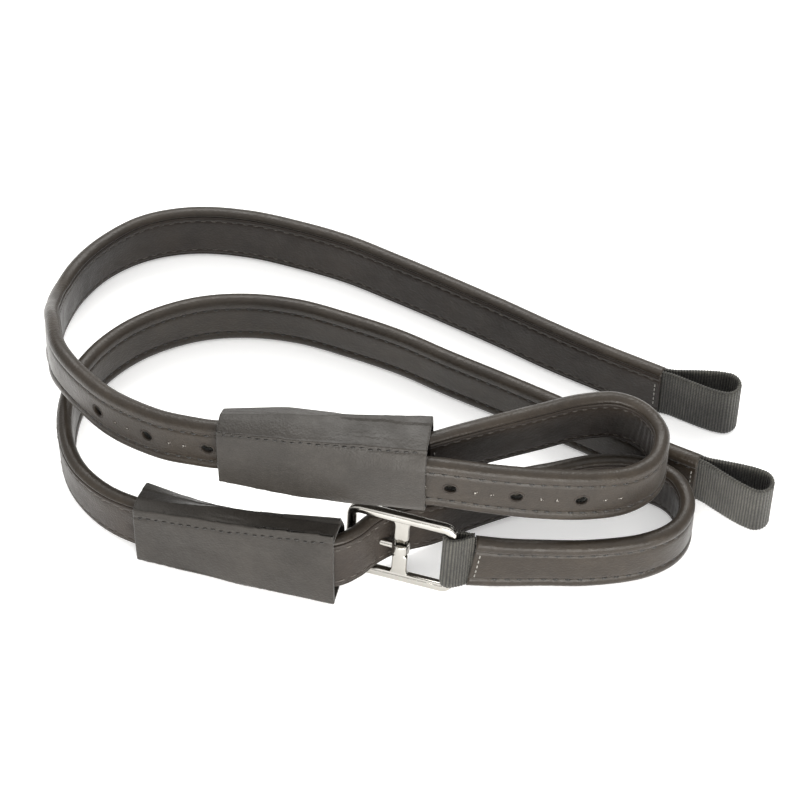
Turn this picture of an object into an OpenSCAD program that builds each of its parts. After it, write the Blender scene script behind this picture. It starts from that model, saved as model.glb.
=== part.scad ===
// A pair of single-strap stirrup leathers, laid out on their edges in two loops.
// Each leather is a webbing core wrapped in rolled leather. One end is an open webbing
// loop for the saddle's stirrup bar, and the other end carries a buckle. The strap turns
// round the stirrup and comes back through the buckle, and a soft sleeve covers the buckle.
// Leather A is the upper one. It rests on leather B, which stands on its edge.

/* [Strap] */
// Width of each strap
strap_w = 25; // [24.6:0.1:25.2]
// Thickness over the rolled edges
strap_t = 6.5; // [6.3:0.1:6.6]
// Thickness of the wrapped cover leather
cover_t = 1.3; // [1:0.1:1.4]
// Width of the lining strip between the rolls
lining_w = 15; // [14:0.5:15.5]
// Thickness of the lining strip
lining_t = 0.8; // [0.6:0.1:0.9]
// Diameter of the filler cord in each rolled edge
roll_d = 2.2; // [1.8:0.1:2.3]
// Width of the webbing core
core_w = 16.8; // [15:0.2:17]
// Thickness of the webbing core
core_t = 1.2; // [1.1:0.1:1.4]

/* [Holes] */
// Distance from one hole to the next
hole_pitch = 25; // [24:0.5:26]
// Diameter of a punched hole
hole_d = 4.6; // [4:0.1:4.8]
// Holes between the buckle and the saddle end
holes_back = 4; // [1:1:8]
// Holes between the buckle and the stirrup bend
holes_on = 4; // [1:1:4]

/* [Webbing loops] */
// Width of the webbing at both ends
web_w = 25; // [24:0.5:25]
// Thickness of the webbing
web_t = 1.7; // [1.4:0.1:2]
// Length of the stirrup-bar loop beyond the leather
bar_loop_l = 31; // [28:1:34]
// Widest opening inside the stirrup-bar loop
bar_loop_gap = 8.5; // [7:0.5:9]

/* [Buckle] */
// Outer length of the frame, along the strap
frame_l = 44; // [43:0.5:45]
// Outer height of the frame, across the strap
frame_h = 34.4; // [34:0.1:34.6]
// Diameter of the frame's bars
bar_d = 4; // [3.8:0.1:4.1]
// Corner radius of the frame's centre line
frame_r = 2.6; // [2.4:0.1:2.7]
// Width of the flat cross bar
cross_w = 6; // [5.6:0.2:6.4]
// Width of the cross bar at the waist that holds the tongue
waist_w = 4; // [3.6:0.1:4]
// Thickness of the cross bar
cross_t = 2.4; // [2:0.1:2.6]
// Length of the waist along the cross bar
waist_l = 7; // [6.5:0.5:8]

/* [Tongue] */
// Outer diameter of the tongue's ring
ring_od = 7; // [6.8:0.1:7.2]
// Inner diameter of the tongue's ring
ring_id = 5.2; // [5:0.1:5.4]
// Width of the ring along the cross bar
ring_w = 4.4; // [4:0.1:5]
// Reach of the tongue from the centre of its ring
tongue_l = 9; // [8:0.1:9.2]
// Diameter of the tongue
tongue_d = 2.4; // [2.2:0.1:2.5]

/* [Sleeve] */
// Length of the sleeve
sleeve_l = 80; // [78:1:82]
// Height of the sleeve at its buckle end
sleeve_h = 38.6; // [38.4:0.1:39]
// Height of the sleeve at its narrow end
sleeve_end_h = 31; // [30:0.5:32]
// Thickness of the sleeve leather
sleeve_t = 1.1; // [0.9:0.1:1.2]

/* [Hidden] */

// Moves the layout so that the middle of its base is the origin
layout_shift = [3.73, 0.22, -0.38];

// Gap left between pieces that only touch, and between the layers of a strap
gap = 0.06;
layer_gap = 0.35;
// Steps between two route points
steps = 2;

// Each route follows a strap's centre from the saddle end, round the stirrup bend and
// back to the buckle. A row is x, y, z and then the tilt of the strap's upper edge in x and y.
route_a = [
    [100, 5, 13.2, 0, 0.04], [76, 17, 13, 0, 0.09], [56, 28, 13, 0, 0.12], [36, 40, 13, 0, 0.12],
    [15, 52, 13, 0, 0.12], [-5, 63, 13, 0, 0.12], [-26, 74, 13, 0, 0.12], [-47, 82, 13, 0, 0.12],
    [-68, 88, 13, 0, 0.10], [-90, 90, 13, 0, 0.08], [-110, 86, 13, 0, 0.05], [-126, 76, 13, 0.05, 0],
    [-137, 62, 14, 0.05, 0], [-143, 45, 17, 0.05, 0], [-144, 28, 25, 0.05, 0], [-142, 13, 35, 0.05, 0],
    [-138, -3, 41, 0.05, 0], [-128, -18, 43, 0, 0.05], [-115, -32, 45.5, 0, 0.08], [-98, -44, 49.5, 0, 0.08],
    [-84, -50, 52.3, 0, 0.06], [-72, -53, 53.8, 0, 0.06], [-59, -52, 53.8, 0, 0.06],
    [-46, -48.8, 53.8, 0, 0.06], [-38.2, -51.4, 53.8, 0, 0.06], [-33, -58.9, 53.8, 0, 0.06],
    [-28, -64.9, 53.8, 0, 0.06], [-20, -67, 53.8, 0, 0.06], [-8, -68.4, 53.8, 0, 0.06],
    [8, -69.8, 53.3, 0, 0.06], [30, -71.5, 50.6, 0, 0.08], [50, -71, 46.8, 0, 0.10],
    [68, -68.5, 42.8, 0, 0.08], [82, -64, 40, 0, 0.04], [92, -56, 39, 0, 0], [95, -44, 39, 0, 0],
    [89, -34, 40, 0, 0], [78, -30, 42, 0, 0], [64, -33, 44.5, 0, 0], [48, -40.5, 48, 0, 0],
    [30, -48.8, 51.5, 0, 0], [16, -55, 53.3, 0, 0.03], [5, -59.6, 53.8, 0, 0.06]];
route_b = [
    [112, -38, 13, 0, 0.02], [98, -31, 13, 0, 0.02], [80, -21, 13, 0, 0.02], [60, -10, 13, 0, 0],
    [36, 3, 13, 0, 0], [15, 14, 13, 0, 0], [-5, 25, 13, 0, 0], [-26, 34, 13, 0, 0],
    [-46, 41, 13, 0, 0], [-67, 44, 13, 0, 0], [-88, 42, 13, 0, 0], [-108, 34, 13, 0, 0],
    [-123, 22, 13, 0, 0], [-133, 7, 13, 0, 0], [-137, -9, 13, 0, 0], [-136, -26, 13, 0, 0],
    [-130, -41, 13, 0, 0], [-118, -54, 14, 0, 0.05], [-102, -63, 15.5, 0, 0.10], [-80, -71, 16.5, 0, 0.15],
    [-58, -77, 17, 0, 0.18], [-42, -81, 17.5, 0, 0.20], [-30, -81.5, 17.5, 0, 0.20],
    [-22, -77.5, 17.5, 0, 0.20], [-15, -71, 17.5, 0, 0.20], [-6, -65.5, 17.3, 0, 0.20], [8, -60, 15, 0, 0.15],
    [22, -53, 14, 0, 0.10],
    [38, -47, 14, 0, 0.05], [54, -42, 13, 0, 0], [72, -38, 13, 0, 0], [90, -39, 13, 0, 0],
    [102, -46, 13, 0, 0], [106, -58, 13, 0, 0], [101, -69, 13, 0, 0], [88, -76, 13, 0, 0.03],
    [68, -79, 13, 0, 0.05], [50, -79, 13, 0, 0.05], [34, -79.5, 14, 0, 0.10], [22.5, -80, 16, 0, 0.15]];

// Which side of the direction of travel the outer leather faces: 1 is right, -1 is left
face_a = 1;
face_b = -1;

// Buckle places: centre of the cross bar, turn in plan, and tilt of the top away in y
buckle_at_a = [-23, -58.6, 53.8];
buckle_turn_a = -6.5;
buckle_tilt_a = 3.4;
buckle_at_b = [-4.5, -74.7, 17.5];
buckle_turn_b = -17;
buckle_tilt_b = 11.3;

// Turn of each stirrup-bar loop in plan, away from the strap's own line
bar_loop_turn_a = 12;
bar_loop_turn_b = 0;

function unit(v) = v / norm(v);
function last(list) = list[len(list) - 1];

// A smooth curve through the route points, with the ends extended in a straight line
function padded(r) = concat([2 * r[0] - r[1]], r, [2 * last(r) - r[len(r) - 2]]);
function blend_at(p, i, f) =
    (2 * p[i + 1] + (p[i + 2] - p[i]) * f
    + (2 * p[i] - 5 * p[i + 1] + 4 * p[i + 2] - p[i + 3]) * f * f
    + (3 * p[i + 1] - p[i] - 3 * p[i + 2] + p[i + 3]) * f * f * f) / 2;
function curve(r) = let (p = padded(r))
    concat([for (i = [0 : len(r) - 2]) for (k = [0 : steps - 1]) blend_at(p, i, k / steps)], [last(r)]);
function xyz(q) = [q.x, q.y, q.z];
function tangent(c, i) =
    unit(xyz(c[min(i + 1, len(c) - 1)]) - xyz(c[max(i - 1, 0)]));

// Stations along a strap: centre, direction of travel, side and up
function station(c, i) = let (t = tangent(c, i), tilt = [c[i][3], c[i][4], 1],
        up = unit(tilt - (tilt * t) * t))
    [xyz(c[i]), t, cross(t, up), up];
function stations(r) = let (c = curve(r)) [for (i = [0 : len(c) - 1]) station(c, i)];

// Distance along the strap to each station, and the station at a given distance
function lengths(st, i = 0, sum = 0) = i == len(st) - 1 ? [sum]
    : concat([sum], lengths(st, i + 1, sum + norm(st[i + 1][0] - st[i][0])));
function span_at(len_list, d, i = 0) =
    i >= len(len_list) - 2 || len_list[i + 1] > d ? i : span_at(len_list, d, i + 1);
function place_at(st, len_list, d) = let (i = span_at(len_list, d),
        f = (d - len_list[i]) / (len_list[i + 1] - len_list[i]),
        t = unit(st[i][1] * (1 - f) + st[i + 1][1] * f),
        up0 = st[i][3] * (1 - f) + st[i + 1][3] * f, up = unit(up0 - (up0 * t) * t))
    [st[i][0] * (1 - f) + st[i + 1][0] * f, t, cross(t, up), up];
// Distance along the strap at which it passes nearest a point
function foot(st, len_list, p) = let (near = [for (i = [0 : len(st) - 2]) let (a = st[i][0],
        b = st[i + 1][0], f = min(1, max(0, (p - a) * (b - a) / ((b - a) * (b - a)))))
        [norm(a + f * (b - a) - p), len_list[i] + f * norm(b - a)]],
        least = min([for (q = near) q[0]]))
    [for (q = near) if (q[0] == least) q[1]][0];

st_a = stations(route_a);
st_b = stations(route_b);
len_a = lengths(st_a);
len_b = lengths(st_b);

// Sweeps a section, drawn as [out from the strap, up], along the stations.
// The section runs counter-clockwise when face is 1.
module sweep(st, face, section) {
    n = len(section);
    m = len(st);
    points = [for (s = st) for (p = section) s[0] + s[2] * (face * p.x) + s[3] * p.y];
    walls = [for (i = [0 : m - 2]) for (k = [0 : n - 1]) let (a = i * n + k,
            b = i * n + (k + 1) % n, c = a + n, d = b + n)
        each [[a, d, b], [a, c, d]]];
    ends = [[for (k = [0 : n - 1]) k], [for (k = [0 : n - 1]) m * n - 1 - k]];
    faces = concat(walls, ends);
    polyhedron(points, face < 0 ? faces : [for (f = faces) [for (k = [len(f) - 1 : -1 : 0]) f[k]]]);
}

// Puts a finished piece in its place in the layout
module placed() {
    translate(layout_shift) children();
}

// Moves children to p, with their x along x_dir and their z along z_dir
module frame_at(p, x_dir, z_dir) {
    y_dir = cross(z_dir, x_dir);
    multmatrix([[x_dir.x, y_dir.x, z_dir.x, p.x], [x_dir.y, y_dir.y, z_dir.y, p.y],
        [x_dir.z, y_dir.z, z_dir.z, p.z], [0, 0, 0, 1]]) children();
}

// ---- Strap ----

half_w = strap_w / 2;
half_t = strap_t / 2;
lip = lining_w / 2;
// The cover's wrapped section, open between the two lips on the lining side
cover_section = [[0.5 - half_t, -lip], [-half_t, 3.2 - half_w], [0.4 - half_t, 1 - half_w],
    [2 - half_t, -half_w], [half_t - 2, -half_w], [half_t - 0.4, 0.9 - half_w], [half_t, 2.4 - half_w],
    [half_t, half_w - 2.4], [half_t - 0.4, half_w - 0.9], [half_t - 2, half_w], [2 - half_t, half_w],
    [0.4 - half_t, half_w - 1], [-half_t, half_w - 3.2], [0.5 - half_t, lip],
    [1.5 - half_t, lip], [cover_t - half_t, half_w - 3.4], [2.3 - half_t, half_w - cover_t],
    [half_t - 2.2, half_w - cover_t], [half_t - cover_t, half_w - 2.6],
    [half_t - cover_t, 0], [half_t - cover_t, 2.6 - half_w], [half_t - 2.2, cover_t - half_w],
    [2.3 - half_t, cover_t - half_w], [cover_t - half_t, 3.4 - half_w], [1.5 - half_t, -lip]];
// A layer of the strap, from one distance off the middle to another
function layer(from, to, w) =
    [[from, -w / 2], [to, -w / 2], [to, 0], [to, w / 2], [from, w / 2], [from, 0]];
core_out = half_t - cover_t - layer_gap;
core_in = core_out - core_t;
lining_out = 0.6 - half_t + lining_t;
lining_in = 0.6 - half_t;
padding_w = core_w - 0.4;
function roll_section(up) = [for (k = [0 : 5])
    [roll_d / 2 * cos(60 * k), up * (half_w - cover_t - layer_gap - roll_d / 2) + roll_d / 2 * sin(60 * k)]];

// Punches the row of holes through a strap layer, one of them where the tongue goes in
module punched(st, len_list, tongue_hole) {
    difference() {
        children();
        for (k = [-holes_back : holes_on]) let (pl = place_at(st, len_list, tongue_hole + k * hole_pitch))
            frame_at(pl[0], pl[1], pl[3]) rotate([90, 0, 0])
                cylinder(d = hole_d, h = 2 * strap_t, center = true, $fn = 24);
    }
}

// ---- Webbing ----

neck_l = 5;
// Stirrup-bar loop, seen from above: x points away from the leather
module bar_loop_outline() {
    r = bar_loop_gap / 2;
    end_x = bar_loop_l - r - web_t;
    difference() {
        hull() {
            translate([end_x, 0]) circle(r + web_t, $fn = 32);
            translate([gap, -web_t]) square([1, 2 * web_t]);
        }
        hull() {
            translate([end_x, 0]) circle(r, $fn = 32);
            translate([neck_l, 0]) circle(0.15, $fn = 16);
        }
    }
}
module bar_loop(st, turn) {
    frame_at(st[0][0], -st[0][1], st[0][3]) rotate([0, 0, turn])
        translate([turn == 0 ? 0 : 0.6, 0, -web_w / 2]) linear_extrude(web_w) bar_loop_outline();
}

stitch_d = 0.6;
stitch_l = 2.6;
stitch_rows = 6;
// A row of stitches across the webbing, on both faces
module tack(x, half_gap) {
    for (side = [-1, 1]) for (k = [0 : stitch_rows - 1])
        translate([x, side * (half_gap + stitch_d / 2 + gap), (k - (stitch_rows - 1) / 2) * 3.8])
            cylinder(d = stitch_d, h = stitch_l, center = true, $fn = 16);
}

// ---- Buckle ----

bar_x = (frame_l - bar_d) / 2;
bar_z = (frame_h - bar_d) / 2;
// The frame stands in the x-z plane with the cross bar's middle at the origin
module frame_corner(sx, sz) {
    translate([sx * (bar_x - frame_r), 0, sz * (bar_z - frame_r)]) rotate([90, 0, 0])
        rotate([0, 0, sx > 0 ? (sz > 0 ? 0 : 270) : (sz > 0 ? 90 : 180)])
        rotate_extrude(angle = 90, $fn = 48) translate([frame_r, 0]) circle(d = bar_d, $fn = 24);
}
module cross_bar() {
    w = cross_w / 2;
    n = waist_w / 2;
    z1 = waist_l / 2;
    z2 = z1 + 1.5;
    rotate([90, 0, 0]) linear_extrude(cross_t, center = true)
        polygon([[-w - 1.5, -bar_z], [-w, -bar_z + 3.5], [-w, -z2], [-n, -z1], [-n, z1], [-w, z2],
            [-w, bar_z - 3.5], [-w - 1.5, bar_z], [w + 1.5, bar_z], [w, bar_z - 3.5], [w, z2],
            [n, z1], [n, -z1], [w, -z2], [w, -bar_z + 3.5], [w + 1.5, -bar_z]]);
}
module buckle_frame() {
    for (sx = [-1, 1]) translate([sx * bar_x, 0, 0])
        cylinder(d = bar_d, h = 2 * (bar_z - frame_r), center = true, $fn = 24);
    for (sz = [-1, 1]) translate([0, 0, sz * bar_z]) rotate([0, 90, 0])
        cylinder(d = bar_d, h = 2 * (bar_x - frame_r), center = true, $fn = 24);
    for (sx = [-1, 1]) for (sz = [-1, 1]) frame_corner(sx, sz);
    cross_bar();
}
module buckle_tongue() {
    tip_x = tongue_l - tongue_d / 2;
    difference() {
        union() {
            cylinder(d = ring_od, h = ring_w, center = true, $fn = 32);
            rotate([0, -90, 0]) cylinder(d = tongue_d, h = tip_x, $fn = 24);
            translate([-tip_x, 0, 0]) sphere(d = tongue_d, $fn = 24);
        }
        cylinder(d = ring_id, h = 2 * ring_w, center = true, $fn = 32);
    }
}
// Webbing wrapped round the frame's right bar: x points towards the strap's end
module buckle_loop(reach) {
    difference() {
        translate([0, 0, -web_w / 2]) linear_extrude(web_w) hull() {
            circle(bar_d / 2 + gap + web_t, $fn = 32);
            translate([reach - 2, -web_t]) square([2, 2 * web_t]);
        }
        cylinder(d = bar_d + 2 * gap, h = 2 * web_w, center = true, $fn = 48);
    }
}

function turned(v, a) = [v.x * cos(a) - v.y * sin(a), v.x * sin(a) + v.y * cos(a), v.z];
function buckle_up(turn, tilt) = turned([0, sin(tilt), cos(tilt)], turn);
function buckle_x(turn) = turned([1, 0, 0], turn);
function end_bar(at, turn) = at + bar_x * buckle_x(turn);
// The tongue slants into its hole, so the hole is aimed a little short of the tip
hole_short = 1.2;
function hole_aim(at, turn) = at - (tongue_l - hole_short) * buckle_x(turn);
// Level direction from the end bar to the strap's end, and the distance between them
function level(v) = [v.x, v.y, 0];
function to_end(st, bar) = level(last(st)[0] - bar);
module in_buckle(at, turn, tilt) {
    frame_at(at, buckle_x(turn), buckle_up(turn, tilt)) children();
}
module at_end_bar(st, at, turn, tilt) {
    bar = end_bar(at, turn);
    up = buckle_up(turn, tilt);
    v = to_end(st, bar);
    frame_at(bar, unit(v - (v * up) * up), up) children();
}
function end_reach(st, at, turn) = norm(to_end(st, end_bar(at, turn))) - 1.4;

// ---- Sleeve ----

// Place of each sleeve: middle of its narrow end and middle of its buckle end
sleeve_from_a = [-73, -52.2, 53.8];
sleeve_to_a = [7, -64, 53.8];
sleeve_tilt_a = 0.06;
sleeve_from_b = [-106, -62.5, 16.6];
sleeve_to_b = [-28, -83.5, 20.3];
sleeve_tilt_b = 0.16;
// Half thickness inside each sleeve, from the narrow end to the buckle end
sleeve_room_a = [6.5, 9, 11.4, 11.4, 11.3, 11.2, 11.2];
sleeve_room_b = [7.8, 7.1, 6.7, 6.6, 6.7, 7.2, 9.2];
// How far each sleeve has widened to its full height, at the same places
sleeve_rise_a = [0, 0.6, 1, 1, 1, 1, 1];
sleeve_rise_b = [0, 0.18, 0.36, 0.54, 0.72, 0.88, 1];
sleeve_sides = 28;
// Roundness of the sleeve's outline: 1 is an ellipse, and smaller is squarer
sleeve_round = 0.55;
function signed_pow(v, power) = sign(v) * pow(abs(v), power);
function sleeve_half_h(rise) = (sleeve_end_h * (1 - rise) + sleeve_h * rise) / 2;
function sleeve_point(rise, room, k, inset) = let (a = 360 * k / sleeve_sides)
    [(room + sleeve_t - inset) * signed_pow(cos(a), sleeve_round),
        (sleeve_half_h(rise) - inset) * signed_pow(sin(a), sleeve_round)];
// A value part way along a list of evenly spaced values
function along(list, f) = let (g = f * (len(list) - 1), i = min(floor(g), len(list) - 2))
    list[i] * (1 - (g - i)) + list[i + 1] * (g - i);
// Local frame of a sleeve: start, x along it, y away from the front, z up
function sleeve_x(from, to) = unit(to - from);
function sleeve_up(from, to, tilt) = let (x = sleeve_x(from, to), v = [0, tilt, 1])
    unit(v - (v * x) * x);
module in_sleeve(from, to, tilt) {
    frame_at(from, sleeve_x(from, to), sleeve_up(from, to, tilt)) children();
}
module sleeve(room, rise) {
    m = len(room);
    n = sleeve_sides;
    points = [for (j = [0 : 1]) for (i = [0 : m - 1]) for (k = [0 : n - 1])
        let (q = sleeve_point(rise[i], room[i], k, j * sleeve_t)) [i / (m - 1) * sleeve_l, q.x, q.y]];
    function at(j, i, k) = j * m * n + i * n + k % n;
    outer = [for (i = [0 : m - 2]) for (k = [0 : n - 1])
        each [[at(0, i, k), at(0, i + 1, k + 1), at(0, i, k + 1)],
            [at(0, i, k), at(0, i + 1, k), at(0, i + 1, k + 1)]]];
    inner = [for (i = [0 : m - 2]) for (k = [0 : n - 1])
        each [[at(1, i, k), at(1, i, k + 1), at(1, i + 1, k + 1)],
            [at(1, i, k), at(1, i + 1, k + 1), at(1, i + 1, k)]]];
    rims = [for (k = [0 : n - 1]) each [[at(0, 0, k), at(1, 0, k + 1), at(1, 0, k)],
        [at(0, 0, k), at(0, 0, k + 1), at(1, 0, k + 1)],
        [at(0, m - 1, k), at(1, m - 1, k), at(1, m - 1, k + 1)],
        [at(0, m - 1, k), at(1, m - 1, k + 1), at(0, m - 1, k + 1)]]];
    polyhedron(points, concat(outer, inner, rims));
}
// How far the sleeve's wall stands from its middle at a height z
function sleeve_wall(room, rise, f, z) = (along(room, f) + sleeve_t)
    * pow(1 - pow(z / sleeve_half_h(along(rise, f)), 2 / sleeve_round), sleeve_round / 2);
seam_stitches = 16;
seam_drop = 4.5;
seam_stitch_l = 3.2;
module sleeve_seam(room, rise) {
    for (k = [0 : seam_stitches - 1])
        let (f = (k + 0.5) / seam_stitches, z = sleeve_half_h(along(rise, f)) - seam_drop)
            translate([f * sleeve_l, -sleeve_wall(room, rise, f, z) - stitch_d / 2 - 0.3, z])
                rotate([0, 90, 0]) cylinder(d = stitch_d, h = seam_stitch_l, center = true, $fn = 16);
}

// ---- Leather A ----

tongue_hole_a = foot(st_a, len_a, hole_aim(buckle_at_a, buckle_turn_a));
module strap_cover_a() {
    color([0.36, 0.34, 0.31]) placed() punched(st_a, len_a, tongue_hole_a) sweep(st_a, face_a, cover_section);
}
module lining_a() {
    color([0.2, 0.19, 0.17]) placed() punched(st_a, len_a, tongue_hole_a)
        sweep(st_a, face_a, layer(lining_in, lining_out, lining_w - 2 * layer_gap));
}
module padding_a() {
    color([0.5, 0.48, 0.42]) placed() punched(st_a, len_a, tongue_hole_a)
        sweep(st_a, face_a, layer(lining_out + layer_gap, core_in - layer_gap, padding_w));
}
module webbing_core_a() {
    color([0.12, 0.12, 0.11]) placed() punched(st_a, len_a, tongue_hole_a)
        sweep(st_a, face_a, layer(core_in, core_out, core_w));
}
module upper_roll_a() {
    color([0.7, 0.68, 0.62]) placed() sweep(st_a, face_a, roll_section(1));
}
module lower_roll_a() {
    color([0.7, 0.68, 0.62]) placed() sweep(st_a, face_a, roll_section(-1));
}
module bar_loop_a() {
    color([0.12, 0.12, 0.11]) placed() bar_loop(st_a, bar_loop_turn_a);
}
module bar_loop_tack_a() {
    color([0.4, 0.39, 0.36]) placed() frame_at(st_a[0][0], -st_a[0][1], st_a[0][3])
        rotate([0, 0, bar_loop_turn_a]) tack(3.2, web_t + 0.7);
}
module buckle_frame_a() {
    color("silver") placed() in_buckle(buckle_at_a, buckle_turn_a, buckle_tilt_a) buckle_frame();
}
module buckle_tongue_a() {
    color("silver") placed() in_buckle(buckle_at_a, buckle_turn_a, buckle_tilt_a) buckle_tongue();
}
module buckle_loop_a() {
    color([0.12, 0.12, 0.11]) placed() at_end_bar(st_a, buckle_at_a, buckle_turn_a, buckle_tilt_a)
        buckle_loop(end_reach(st_a, buckle_at_a, buckle_turn_a));
}
module buckle_loop_tack_a() {
    reach = end_reach(st_a, buckle_at_a, buckle_turn_a);
    color([0.4, 0.39, 0.36]) placed() at_end_bar(st_a, buckle_at_a, buckle_turn_a, buckle_tilt_a)
        tack(reach - 1, web_t + 0.6);
}
module sleeve_a() {
    color([0.34, 0.33, 0.31]) placed() in_sleeve(sleeve_from_a, sleeve_to_a, sleeve_tilt_a)
        sleeve(sleeve_room_a, sleeve_rise_a);
}
module sleeve_seam_a() {
    color([0.4, 0.39, 0.36]) placed() in_sleeve(sleeve_from_a, sleeve_to_a, sleeve_tilt_a)
        sleeve_seam(sleeve_room_a, sleeve_rise_a);
}

// ---- Leather B ----

tongue_hole_b = foot(st_b, len_b, hole_aim(buckle_at_b, buckle_turn_b));
module strap_cover_b() {
    color([0.36, 0.34, 0.31]) placed() punched(st_b, len_b, tongue_hole_b) sweep(st_b, face_b, cover_section);
}
module lining_b() {
    color([0.2, 0.19, 0.17]) placed() punched(st_b, len_b, tongue_hole_b)
        sweep(st_b, face_b, layer(lining_in, lining_out, lining_w - 2 * layer_gap));
}
module padding_b() {
    color([0.5, 0.48, 0.42]) placed() punched(st_b, len_b, tongue_hole_b)
        sweep(st_b, face_b, layer(lining_out + layer_gap, core_in - layer_gap, padding_w));
}
module webbing_core_b() {
    color([0.12, 0.12, 0.11]) placed() punched(st_b, len_b, tongue_hole_b)
        sweep(st_b, face_b, layer(core_in, core_out, core_w));
}
module upper_roll_b() {
    color([0.7, 0.68, 0.62]) placed() sweep(st_b, face_b, roll_section(1));
}
module lower_roll_b() {
    color([0.7, 0.68, 0.62]) placed() sweep(st_b, face_b, roll_section(-1));
}
module bar_loop_b() {
    color([0.12, 0.12, 0.11]) placed() bar_loop(st_b, bar_loop_turn_b);
}
module bar_loop_tack_b() {
    color([0.4, 0.39, 0.36]) placed() frame_at(st_b[0][0], -st_b[0][1], st_b[0][3])
        rotate([0, 0, bar_loop_turn_b]) tack(3.2, web_t + 0.7);
}
module buckle_frame_b() {
    color("silver") placed() in_buckle(buckle_at_b, buckle_turn_b, buckle_tilt_b) buckle_frame();
}
module buckle_tongue_b() {
    color("silver") placed() in_buckle(buckle_at_b, buckle_turn_b, buckle_tilt_b) buckle_tongue();
}
module buckle_loop_b() {
    color([0.12, 0.12, 0.11]) placed() at_end_bar(st_b, buckle_at_b, buckle_turn_b, buckle_tilt_b)
        buckle_loop(end_reach(st_b, buckle_at_b, buckle_turn_b));
}
module buckle_loop_tack_b() {
    reach = end_reach(st_b, buckle_at_b, buckle_turn_b);
    color([0.4, 0.39, 0.36]) placed() at_end_bar(st_b, buckle_at_b, buckle_turn_b, buckle_tilt_b)
        tack(reach - 1, web_t + 0.6);
}
module sleeve_b() {
    color([0.34, 0.33, 0.31]) placed() in_sleeve(sleeve_from_b, sleeve_to_b, sleeve_tilt_b)
        sleeve(sleeve_room_b, sleeve_rise_b);
}
module sleeve_seam_b() {
    color([0.4, 0.39, 0.36]) placed() in_sleeve(sleeve_from_b, sleeve_to_b, sleeve_tilt_b)
        sleeve_seam(sleeve_room_b, sleeve_rise_b);
}

strap_cover_a();
lining_a();
padding_a();
webbing_core_a();
upper_roll_a();
lower_roll_a();
bar_loop_a();
bar_loop_tack_a();
buckle_loop_a();
buckle_loop_tack_a();
buckle_frame_a();
buckle_tongue_a();
sleeve_a();
sleeve_seam_a();
strap_cover_b();
lining_b();
padding_b();
webbing_core_b();
upper_roll_b();
lower_roll_b();
bar_loop_b();
bar_loop_tack_b();
buckle_loop_b();
buckle_loop_tack_b();
buckle_frame_b();
buckle_tongue_b();
sleeve_b();
sleeve_seam_b();
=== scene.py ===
"""Looks for a pair of single-strap stirrup leathers.

Lengths are millimetres in the row frame, except for the lights, whose places are metres.
"""

import math

import bpy
import numpy as np
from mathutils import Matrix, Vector


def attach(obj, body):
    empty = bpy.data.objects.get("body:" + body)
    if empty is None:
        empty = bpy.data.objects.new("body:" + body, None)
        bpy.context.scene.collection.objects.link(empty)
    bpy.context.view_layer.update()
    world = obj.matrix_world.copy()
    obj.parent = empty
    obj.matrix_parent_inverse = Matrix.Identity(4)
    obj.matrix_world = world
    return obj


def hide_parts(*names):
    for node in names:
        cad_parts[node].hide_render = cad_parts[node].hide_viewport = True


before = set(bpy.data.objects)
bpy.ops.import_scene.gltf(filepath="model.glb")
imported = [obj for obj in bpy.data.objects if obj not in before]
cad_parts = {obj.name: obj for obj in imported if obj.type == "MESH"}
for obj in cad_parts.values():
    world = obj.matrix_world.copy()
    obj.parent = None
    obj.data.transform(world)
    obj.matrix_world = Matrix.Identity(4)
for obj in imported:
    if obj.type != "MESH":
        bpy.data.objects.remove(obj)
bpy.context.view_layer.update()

MM = 0.001
SHIFT = np.array([3.73, 0.22, -0.38])

# ---- The layout, as in the CAD source ----

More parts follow.
